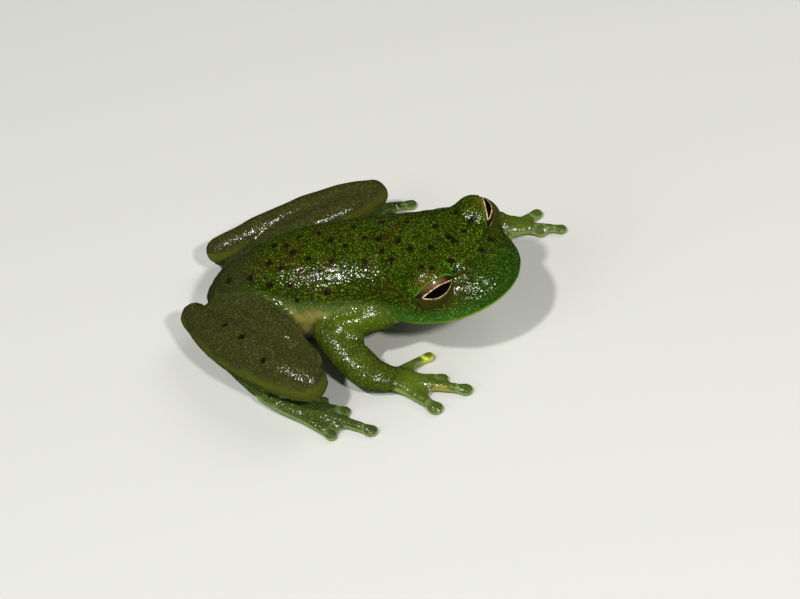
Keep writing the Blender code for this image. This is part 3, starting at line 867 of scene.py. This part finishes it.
def paint(base, colour, share):
    """Lays a colour over a coat of colours, by a share for each vertex."""
    base += (np.array(colour) - base) * np.clip(share, 0, 1)[:, None]


patches = mottle(co, *PATCHES)
ground = np.tile(np.array(OLIVE), (len(co), 1))
paint(ground, BROWN, ramp(patches, *BROWN_ON_TRUNK) * weight["trunk"])
paint(ground, BROWN, ramp(patches, *BROWN_ON_HEAD) * weight["head"] * BROWN_HEAD_SHARE)
paint(ground, GREEN_FLANK, ramp(z, *GREEN_FLANK_LEVEL) * weight["trunk"])
flank = z + FLANK_WAVE_HEIGHT * mottle(co, *FLANK_WAVES) + FLANK_RIPPLE_HEIGHT * mottle(co, *FLANK_RIPPLES)
paint(ground, CREAM, ramp(flank, *CREAM_LEVEL) * hump(y, CREAM_BACK, CREAM_LENGTH) * weight["trunk"])
belly_facing = upward + BELLY_WAVE_SHARE * mottle(co, *BELLY_WAVES)
under = ramp(belly_facing, *BELLY_FACING) * ramp(z, *BELLY_LEVEL)
paint(ground, BELLY, under * body)
rump = ramp(y, *RUMP_FROM) * weight["trunk"]
paint(ground, SMOKE, rump * (1 - under))
snout = ramp((co - np.array(brow)) @ np.array(head_front), *SNOUT_FROM) * weight["head"]
paint(ground, SNOUT, snout * SNOUT_SHARE)
jaw_side = ramp(lip_over, *JAW_LEVEL) * weight["head"] * ramp(upward, *JAW_FACING)
jaw_side *= JAW_FRONT_SHARE + (1 - JAW_FRONT_SHARE) * ramp(np.abs(lip_turn), *JAW_TURN)
paint(ground, JAW, jaw_side)
paint(ground, BELLY, ramp(lip_over, *THROAT_LEVEL) * weight["head"])
# Painted highlight: the lip line is made brighter and wider where it turns round the front of the snout.
lip_painted_highlight = hump(np.hypot(lip_over, lip_out * LIP_HIGHLIGHT_SQUASH), 0, LIP_HIGHLIGHT_WIDTH)
lip_painted_highlight *= ramp(np.abs(lip_turn), *LIP_HIGHLIGHT_TURN)
lip_share = LIP_LINE_SHARE + (1 - LIP_LINE_SHARE) * lip_painted_highlight
paint(ground, LIP_YELLOW_AND_HIGHLIGHT, lip_share * hump(lip_over, 0, LIP_LINE_WIDTH) * weight["head"])

# The colour of the limbs. Arms are bright olive with a duller, clouded forearm, legs smoky with
# paler sides of painted rim light, and hands and feet thin and glassy, with pale pad rims, pale sides of
# painted rim light and a lemon first finger pad.
# A faint orange streak lies in the right hand's web.
ARM = (0.050, 0.082, 0.004)
ARM_UNDER_FACING = (0.35, -0.1)
ARM_UNDER_SHARE = 0.7
FOREARM = (0.032, 0.040, 0.004)
FOREARM_CLOUDS = (1.1, 4.0)
FOREARM_SHARE = 0.75
FOREARM_REACH = (0.5, 0.1)
WRIST_REACH = (1.4, 0.0)
WRIST_SHARE = 0.7
LEG = (0.026, 0.028, 0.006)
# Painted rim light for the sides of the legs.
LEG_RIM_LIGHT = (0.070, 0.082, 0.008)
LEG_CLOUDS = (1.4, 5.0)
LEG_CLOUD_SHARE = 0.2
LEG_RIM_LIGHT_FACING = (0.62, 0.1)
HAND = (0.085, 0.128, 0.007)
FOOT = (0.038, 0.062, 0.012)
FOOT_CLOUDS = (0.9, 10.0)
FOOT_GLASS_SHARE = 0.3
FOOT_CLOUD_SHARE = 0.4
GLASS = (0.032, 0.052, 0.012)
GLASS_REACH = (5.5, 1.2)
GLASS_SHARE = 0.65
# One pale glassy colour serves for the pads' own rims and for painted rim light on the sides of hands and
# feet.
PALE_PAD_RIM_AND_RIM_LIGHT = (0.26, 0.36, 0.11)
DIGIT_RIM_LIGHT_FACING = (0.7, 0.1)
DIGIT_RIM_LIGHT_SHARE = 0.8
PAD_EDGE_WIDTH = 0.16
PAD_EDGE_SHARE = 0.45
LEMON = (0.52, 0.56, 0.05)
FIRST_PAD = PADS["hand_right"][0]
FIRST_PAD_REACH = (1.5, 0.8)
LEMON_AT = 0.9
LEMON_WIDTH = 0.25
LEMON_FACING = (0.7, 0.2)
LEMON_REACH = (2.0, 1.0)
ORANGE = (0.45, 0.27, 0.02)
WEB_STREAK = (-8.7, -6.9)
WEB_STREAK_STRETCH = (2.4, 0.7)
WEB_STREAK_REACH = (0.7, 0.2)
WEB_STREAK_SHARE = 0.4
near_forearm = np.minimum(nearness["forearm_right"], nearness["forearm_left"])
clouded = FOREARM_SHARE + (1 - FOREARM_SHARE) * mottle(co, *FOREARM_CLOUDS)
paint(ground, ARM, weight["arm"])
paint(ground, FOREARM, weight["arm"] * ramp(near_forearm, *FOREARM_REACH) * clouded)
paint(ground, ARM, weight["arm"] * ramp(upward, *ARM_UNDER_FACING) * ARM_UNDER_SHARE)
paint(ground, LEG, weight["leg"])
leg_facing = upward + LEG_CLOUD_SHARE * mottle(co, *LEG_CLOUDS)
# Painted rim light: the legs are made paler and yellower where the skin turns away from the top.
paint(ground, LEG_RIM_LIGHT, weight["leg"] * ramp(leg_facing, *LEG_RIM_LIGHT_FACING))
paint(ground, HAND, weight["hand"])
paint(ground, FOOT, weight["foot"] + weight["heel"])
paint(ground, FOREARM, weight["hand"] * ramp(near_forearm, *WRIST_REACH) * WRIST_SHARE)
paint(ground, GLASS, digits * ramp(pad, *GLASS_REACH) * GLASS_SHARE)
foot_glass = FOOT_GLASS_SHARE + FOOT_CLOUD_SHARE * mottle(co, *FOOT_CLOUDS)
paint(ground, GLASS, weight["foot"] * foot_glass)
# Painted rim light: the sides and undersides of hands and feet are made pale.
paint(ground, PALE_PAD_RIM_AND_RIM_LIGHT, digits * ramp(upward, *DIGIT_RIM_LIGHT_FACING) * DIGIT_RIM_LIGHT_SHARE)
paint(ground, PALE_PAD_RIM_AND_RIM_LIGHT, digits * hump(pad, 1.0, PAD_EDGE_WIDTH) * PAD_EDGE_SHARE)
first_pad = pad_gap(co, FIRST_PAD)
paint(ground, HAND, weight["hand"] * ramp(first_pad, *FIRST_PAD_REACH))
lemon_side = ramp(upward, *LEMON_FACING) * ramp(first_pad, *LEMON_REACH)
lemon_rim = np.maximum(hump(first_pad, LEMON_AT, LEMON_WIDTH), lemon_side)
paint(ground, LEMON, weight["hand"] * lemon_rim)
streak_x = (x - WEB_STREAK[0]) * WEB_STREAK_STRETCH[0]
streak_y = (y - WEB_STREAK[1]) * WEB_STREAK_STRETCH[1]
streak = ramp(np.hypot(streak_x, streak_y), *WEB_STREAK_REACH)
paint(ground, ORANGE, weight["hand"] * streak * WEB_STREAK_SHARE)

# The colour round the eyes. The skin below each ball is bare dark brown, the upper lid has a thin
# bright green margin and a golden brow, and vivid green grains gather at the corners.
LID_BROWN = (0.034, 0.033, 0.003)
LID_BROWN_FROM = (1.3, 0.1)
LID_BROWN_LEVEL = (0.45, -0.35)
LID_BROWN_HALF = (2.1, 1.4)
GOLD_BROWN = (0.075, 0.050, 0.006)
GOLD_BROWN_SHARE = 0.7
GOLD_BROWN_PLACE = (-0.5, 0.3)
GOLD_BROWN_WIDTHS = (0.9, 0.25)
GOLD_BROWN_LEVEL = (0.3, 0.6)
LID_EDGE = (0.07, 0.19, 0.012)
LID_EDGE_SHARE = 0.85
LID_EDGE_AT = 0.04
LID_EDGE_WIDTH = 0.06
LID_EDGE_LEVEL = (0.0, 0.3)
VIVID_SHARE = {"eye_right": 0.85, "eye_left": 0.35}
VIVID_AT = 0.35
VIVID_WIDTH = 0.4
VIVID_REAR = (-0.9, -1.7)
VIVID_FRONT = (0.8, 1.5)
VIVID_FRONT_LEVEL = (0.3, 0.7)
lid_zone = np.zeros(len(co))
margin_zone = np.zeros(len(co))
vivid = np.zeros(len(co))
golden = np.zeros(len(co))
for eye in eyes:
    along, over, d, away, gap = round_opening(eye, co)
    near_ball = (d > 0) & (away < LID_REACH)
    below_ball = ramp(over, *LID_BROWN_LEVEL) * ramp(np.abs(along), *LID_BROWN_HALF)
    lid_zone = np.maximum(lid_zone, near_ball * ramp(gap, *LID_BROWN_FROM) * below_ball)
    upper_rim = hump(gap, LID_EDGE_AT, LID_EDGE_WIDTH) * ramp(over, *LID_EDGE_LEVEL)
    margin_zone = np.maximum(margin_zone, near_ball * upper_rim)
    corner = ramp(along, *VIVID_REAR) + ramp(along, *VIVID_FRONT) * ramp(over, *VIVID_FRONT_LEVEL)
    corner_share = VIVID_SHARE[eye.name] * np.clip(corner, 0, 1)
    vivid = np.maximum(vivid, near_ball * hump(gap, VIVID_AT, VIVID_WIDTH) * corner_share)
    brow_along = (along - GOLD_BROWN_PLACE[0]) / GOLD_BROWN_WIDTHS[0]
    brow_out = (gap - GOLD_BROWN_PLACE[1]) / GOLD_BROWN_WIDTHS[1]
    over_lid = hump(np.hypot(brow_along, brow_out), 0, 1) * ramp(over, *GOLD_BROWN_LEVEL)
    golden = np.maximum(golden, near_ball * over_lid)
paint(ground, LID_BROWN, lid_zone)
paint(ground, GOLD_BROWN, golden * GOLD_BROWN_SHARE)
paint(ground, LID_EDGE, margin_zone * LID_EDGE_SHARE)

# The grains. Bright grains of pigment lie in the clear skin over the ground, thick on the back and
# head and thin on limbs, lip and flank. Each part has its own colour of grain and its own share of
# them, and the wet surface over them is beaded less where the skin is drawn tight.
GREEN_GRAIN = (0.075, 0.130, 0.005)
SNOUT_GRAIN = (0.040, 0.092, 0.008)
SNOUT_GRAIN_SHARE = 0.8
TEAL_GRAIN = (0.070, 0.210, 0.048)
VIVID_GRAIN = (0.10, 0.34, 0.008)
FLANK_GRAIN = (0.14, 0.19, 0.06)
FLANK_GRAIN_LEVEL = (5.8, 5.0)
PALE_GRAIN = (0.060, 0.075, 0.020)
GOLD_GRAIN = (0.10, 0.135, 0.016)
COVER_FACING = (-0.35, 0.0)
COVER_LEVEL = (5.5, 6.2)
COVER_CLOUDS = (2.2, 6.0)
COVER_SHARE = 0.72
COVER_CLOUD_SHARE = 0.25
COVER_HEAD_SHARE = 0.10
COVER_LOST_ON_FLANK = 0.6
COVER_FLANK_LEVEL = (5.0, 3.6)
COVER_LOST_ON_RUMP = 0.7
COVER_LOST_ON_JAW = 0.3
COVER_LIP_LEVEL = (0.0, 0.35)
COVER_ARM = 0.6
COVER_LEG = 0.6
COVER_DIGITS = 0.35
COVER_HEEL = 0.4
BARE_PAD_REACH = (2.4, 1.6)
BEADED = 0.60
BEADED_BODY = 0.07
BEADED_DIGITS = 0.12
BEADED_TIGHT = 0.5
TIGHT_LIP_LEVEL = (0.4, -0.1)
fleck = np.tile(np.array(GREEN_GRAIN), (len(co), 1))
paint(fleck, SNOUT_GRAIN, snout * SNOUT_GRAIN_SHARE)
paint(fleck, TEAL_GRAIN, jaw_side)
paint(fleck, VIVID_GRAIN, vivid)
paint(fleck, FLANK_GRAIN, ramp(flank, *FLANK_GRAIN_LEVEL) * weight["trunk"])
paint(fleck, PALE_GRAIN, weight["leg"] + rump)
paint(fleck, GOLD_GRAIN, weight["arm"] + digits + weight["heel"])
cover = body * np.maximum(ramp(upward, *COVER_FACING), ramp(z, *COVER_LEVEL)) * (1 - lid_zone)
cover *= COVER_SHARE + COVER_CLOUD_SHARE * mottle(co, *COVER_CLOUDS) + COVER_HEAD_SHARE * weight["head"]
cover *= 1 - ramp(flank, *COVER_FLANK_LEVEL) * weight["trunk"] * COVER_LOST_ON_FLANK
cover *= 1 - rump * COVER_LOST_ON_RUMP
cover *= 1 - COVER_LOST_ON_JAW * jaw_side
cover *= ramp(lip_over, *COVER_LIP_LEVEL) * weight["head"] + (1 - weight["head"])
cover += weight["arm"] * COVER_ARM + weight["leg"] * COVER_LEG
cover += digits * COVER_DIGITS + weight["heel"] * COVER_HEEL
cover *= 1 - ramp(first_pad, *BARE_PAD_REACH) * weight["hand"]
tight = np.maximum(lid_zone, ramp(lip_over, *TIGHT_LIP_LEVEL))
beaded = BEADED + BEADED_BODY * body + BEADED_DIGITS * digits - BEADED_TIGHT * body * tight


def store(mesh, name, values):
    """Stores one number or one colour for each vertex."""
    if values.ndim == 1:
        made = mesh.attributes.new(name, "FLOAT", "POINT")
        made.data.foreach_set("value", values.astype(np.float32))
    else:
        made = mesh.attributes.new(name, "FLOAT_COLOR", "POINT")
        rgba = np.hstack([values, np.ones((len(values), 1))])
        made.data.foreach_set("color", rgba.astype(np.float32).ravel())


store(drawn, "ground", ground)
store(drawn, "fleck", fleck)
store(drawn, "cover", np.clip(cover, 0, 1))
store(drawn, "beaded", np.clip(beaded, 0, 1))

# The dark spots. Small ragged spots of black pigment are scattered over back and head, with a few
# on the near leg. Each is set by its place in the picture, on the skin that is seen there.
SPOTS = (
    (300, 236), (330, 240.5), (319, 233), (293, 252.6), (308, 258), (332, 261), (365, 262), (382, 251),
    (398, 241), (410, 249), (430.5, 247.4), (449, 236.5), (454, 241), (464, 231), (482, 250), (456, 212.6),
    (471, 221), (364, 238), (345, 246), (379, 239), (281, 268), (269, 263), (270, 285), (289, 285),
    (250, 278), (229, 280.5), (297, 300), (319.5, 273), (326.5, 293), (274, 246), (286, 246), (259, 245),
    (390.5, 261), (421, 267), (432, 268), (451, 261), (407, 222), (436, 226.5), (382, 222), (354, 226.5),
    (492, 240), (225, 325), (241.5, 337), (263, 360),
)
SPOT_LEAST = 0.85
SPOT_SPREAD = 0.4
SPOT_WAY = 0.618
polygons = [tuple(p.vertices) for p in drawn.polygons]
surface = BVHTree.FromPolygons([Vector(p) for p in co], polygons)


def seen_at(spot):
    """The place on the skin that the viewpoint sees at a pixel of the picture."""
    px, py = spot
    scale = SENSOR / LENS / PICTURE[0]
    ray = -back + right * ((px - PICTURE[0] / 2) * scale) + top * ((PICTURE[1] / 2 - py) * scale)
    return surface.ray_cast(lens_place / MM, ray.normalized())[0]


spot_gap = np.full(len(co), NOWHERE_NEAR)
for k, spot in enumerate(SPOTS):
    place = seen_at(spot)
    if place is not None:
        size = SPOT_LEAST + SPOT_SPREAD * math.modf(k * SPOT_WAY)[0]
        spot_gap = np.minimum(spot_gap, how_far(co, place) / size)
store(drawn, "spot_gap", spot_gap)

# The skin's finish. A wet, clear skin with light going some way in. Round grains of pigment show
# where the cover is thick enough for them, spots go over the grains, and two sizes of bead make the
# wet surface sparkle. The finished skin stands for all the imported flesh.
GRAIN_SIZE = 0.14
GRAIN_SCATTER = 0.9
GRAIN_EDGE = (0.55, 0.2)
GRAIN_CHANCE = (-0.04, 0.10)
GRAIN_LEAST = 0.45
GRAIN_SPREAD = 1.1
SPOT_BLACK = (0.008, 0.005, 0.002)
SPOT_RAGGED_SIZE = 0.13
SPOT_RAGGED = 0.60
SPOT_EDGE = (0.62, 0.50)
BEAD_SIZE = 0.27
BEAD_SMOOTHNESS = 0.25
BEAD_EDGE = (0.75, 0.0)
FINE_BEAD_EDGE = (0.7, 0.0)
FINE_BEAD_SHARE = 0.25
BEAD_HEIGHT = 0.042
SKIN_FINISH = {
    "Roughness": 0.17,
    "IOR": 1.40,
    "Subsurface Weight": 0.25,
    "Subsurface Radius": (0.8, 1.0, 0.35),
    "Subsurface Scale": 0.3 * MM,
}
wet = Paint("wet_skin")
where = wet.node("TexCoord").outputs["Object"]
cells = wet.pattern("TexVoronoi", GRAIN_SIZE * MM, where)
cells.inputs["Randomness"].default_value = GRAIN_SCATTER
chance = wet.node("SeparateColor")
wet.join(cells.outputs["Color"], chance.inputs["Color"])
grain = wet.step(cells.outputs["Distance"], *GRAIN_EDGE)
spare = wet.maths("SUBTRACT", wet.attribute("cover"), chance.outputs["Red"])
shown = wet.maths("MULTIPLY", grain, wet.step(spare, *GRAIN_CHANCE))
brighter = wet.maths("MULTIPLY", chance.outputs["Green"], GRAIN_SPREAD)
grain_colour = wet.node("VectorMath", operation="SCALE")
wet.join(wet.attribute("fleck", "Color"), grain_colour.inputs[0])
wet.join(wet.maths("ADD", brighter, GRAIN_LEAST), grain_colour.inputs["Scale"])
speckled = wet.blend(shown, wet.attribute("ground", "Color"), grain_colour.outputs[0])
ragged = wet.pattern("TexNoise", SPOT_RAGGED_SIZE * MM, where)
ragged_gap = wet.maths("MULTIPLY", ragged.outputs["Fac"], SPOT_RAGGED)
spotted = wet.step(wet.maths("ADD", wet.attribute("spot_gap"), ragged_gap), *SPOT_EDGE)
wet.join(wet.blend(spotted, speckled, SPOT_BLACK), wet.shader.inputs["Base Color"])
beads = wet.pattern("TexVoronoi", BEAD_SIZE * MM, where, feature="SMOOTH_F1")
beads.inputs["Smoothness"].default_value = BEAD_SMOOTHNESS
round_bead = wet.step(beads.outputs["Distance"], *BEAD_EDGE)
fine_bead = wet.step(cells.outputs["Distance"], *FINE_BEAD_EDGE)
both_beads = wet.maths("ADD", round_bead, wet.maths("MULTIPLY", fine_bead, FINE_BEAD_SHARE))
bump = wet.node("Bump")
bump.inputs["Distance"].default_value = BEAD_HEIGHT * MM
wet.join(wet.maths("MULTIPLY", both_beads, wet.attribute("beaded")), bump.inputs["Height"])
wet.join(bump.outputs["Normal"], wet.shader.inputs["Normal"])
wet.finish(SKIN_FINISH)


def smooth_shade(mesh):
    """Lets light run over a mesh's faces with no facets."""
    for face in mesh.polygons:
        face.use_smooth = True


drawn.materials.clear()
drawn.materials.append(wet.material)
smooth_shade(drawn)
put(drawn, co * MM)
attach(skin, "root")
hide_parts(*flesh_names)

# The eyes. Each is a wet ball with a level, lens-shaped pupil in a thin gold line, on an iris of
# coppery brown that darkens toward the corners, with a painted highlight above the pupil. The ball sits
# under the lids on its packed eye.
PUPIL_HALF = {"eye_right": 1.32, "eye_left": 1.08}
PUPIL_TALL = {"eye_right": 0.42, "eye_left": 0.26}
PUPIL_RAISE = {"eye_right": -0.06, "eye_left": 0.32}
PUPIL_FORWARD = 0.12
BEHIND_PUPIL = -2
BALL_TURNS = 128
BALL_RINGS = 96
DIM_FORWARD = -0.1
DIM_FROM = (0.75, 1.45)
DIM_UNDER = (-0.33, -0.48)
HIGHLIGHT_PLACE = (0.1, 0.62)
HIGHLIGHT_WIDTHS = (0.75, 0.2)
STREAK_SIZE = 0.2
STREAK_DETAIL = 5
STREAK_MIDDLE = 0.5
VEIN_SIZE = 1 / 7
IRIS_DARK = (0.030, 0.013, 0.005)
IRIS_COPPER = (0.120, 0.060, 0.020)
COPPER_STREAKS = (0.35, 0.65)
IRIS_VEIN = (0.030, 0.014, 0.007)
VEIN_EDGE = (0.10, 0.02)
IRIS_PAINTED_HIGHLIGHT = (0.13, 0.070, 0.032)
IRIS_DIM = (0.012, 0.008, 0.005)
GOLD_DULL = (0.34, 0.22, 0.08)
GOLD_BRIGHT = (0.66, 0.54, 0.24)
GOLD_STREAKS = (0.40, 0.60)
GOLD_WANDER = 0.16
GOLD_EDGE = (-0.118, -0.070)
GOLD_SHARE = 0.92
PUPIL_BLACK = (0.0015, 0.0015, 0.002)
PUPIL_EDGE = (-0.020, 0.0)
EYE_FINISH = {
    "Roughness": 0.25,
    "Specular IOR Level": 0.1,
    "Coat Weight": 1.0,
    "Coat IOR": 1.33,
    "Coat Roughness": 0.14,
}
iris = Paint("iris")
slit = iris.attribute("slit")
gaze_place = iris.attribute("gaze", "Vector")
streaks = iris.pattern("TexNoise", STREAK_SIZE, gaze_place)
streaks.inputs["Detail"].default_value = STREAK_DETAIL
streaked = streaks.outputs["Fac"]
veins = iris.pattern("TexVoronoi", VEIN_SIZE, gaze_place, feature="DISTANCE_TO_EDGE")
copper = iris.blend(iris.step(streaked, *COPPER_STREAKS), IRIS_DARK, IRIS_COPPER)
veined = iris.blend(iris.step(veins.outputs["Distance"], *VEIN_EDGE), copper, IRIS_VEIN)
# Painted highlight: the iris is made lighter above the pupil, by the stored 'bright' share.
lighter = iris.blend(iris.attribute("bright"), veined, IRIS_PAINTED_HIGHLIGHT)
iris_colour = iris.blend(iris.attribute("dim"), lighter, IRIS_DIM)
wander = iris.maths("MULTIPLY", iris.maths("SUBTRACT", streaked, STREAK_MIDDLE), GOLD_WANDER)
gold_line = iris.step(iris.maths("ADD", slit, wander), *GOLD_EDGE)
gold = iris.blend(iris.step(streaked, *GOLD_STREAKS), GOLD_DULL, GOLD_BRIGHT)
iris_gold = iris.blend(iris.maths("MULTIPLY", gold_line, GOLD_SHARE), iris_colour, gold)
seen_eye = iris.blend(iris.step(slit, *PUPIL_EDGE), iris_gold, PUPIL_BLACK)
iris.join(seen_eye, iris.shader.inputs["Base Color"])
iris.finish(EYE_FINISH)


def slit_gap(eye, a, o, d):
    """Distance inside the edge of the pupil, negative outside, at places on the ball."""
    half = PUPIL_HALF[eye.name]
    tall = PUPIL_TALL[eye.name]
    raised = PUPIL_RAISE[eye.name]
    reach = np.abs(a - PUPIL_FORWARD)
    lens = tall * (1 - np.clip(reach / half, 0, 1) ** 2.0)
    past = np.maximum(reach - half, 0)
    slope = np.hypot(1, 2 * tall * reach / half**2)
    return np.where(d > 0, (lens - np.abs(o - raised)) / slope - past, BEHIND_PUPIL)


for eye in eyes:
    ball = bmesh.new()
    bmesh.ops.create_uvsphere(ball, u_segments=BALL_TURNS, v_segments=BALL_RINGS, radius=EYE_RADIUS)
    piece = bpy.data.objects.new(eye.name + "_ball", bpy.data.meshes.new(eye.name + "_ball"))
    ball.to_mesh(piece.data)
    ball.free()
    ball_mesh = piece.data
    ball_places = places(ball_mesh)
    a, o, d = ball_places.T
    raised = PUPIL_RAISE[eye.name]
    under_dim = ramp(o, raised + DIM_UNDER[0], raised + DIM_UNDER[1])
    # Where the painted highlight lies on the upper iris.
    highlight_along = (a - HIGHLIGHT_PLACE[0]) / HIGHLIGHT_WIDTHS[0]
    highlight_over = (o - HIGHLIGHT_PLACE[1]) / HIGHLIGHT_WIDTHS[1]
    store(ball_mesh, "slit", slit_gap(eye, a, o, d))
    store(ball_mesh, "dim", np.maximum(ramp(np.abs(a - DIM_FORWARD), *DIM_FROM), under_dim))
    store(ball_mesh, "bright", hump(np.hypot(highlight_along, highlight_over), 0, 1))
    gaze = ball_mesh.attributes.new("gaze", "FLOAT_VECTOR", "POINT")
    gaze.data.foreach_set("vector", ball_places.astype(np.float32).ravel())
    pose = Matrix((eye.along, eye.over, eye.out)).transposed().to_4x4()
    if pose.determinant() < 0:
        ball_mesh.flip_normals()
    ball_mesh.transform(Matrix.Scale(MM, 4) @ Matrix.Translation(eye.centre) @ pose)
    smooth_shade(ball_mesh)
    ball_mesh.materials.append(iris.material)
    bpy.context.scene.collection.objects.link(piece)
    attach(piece, "root")
    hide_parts(eye.name)
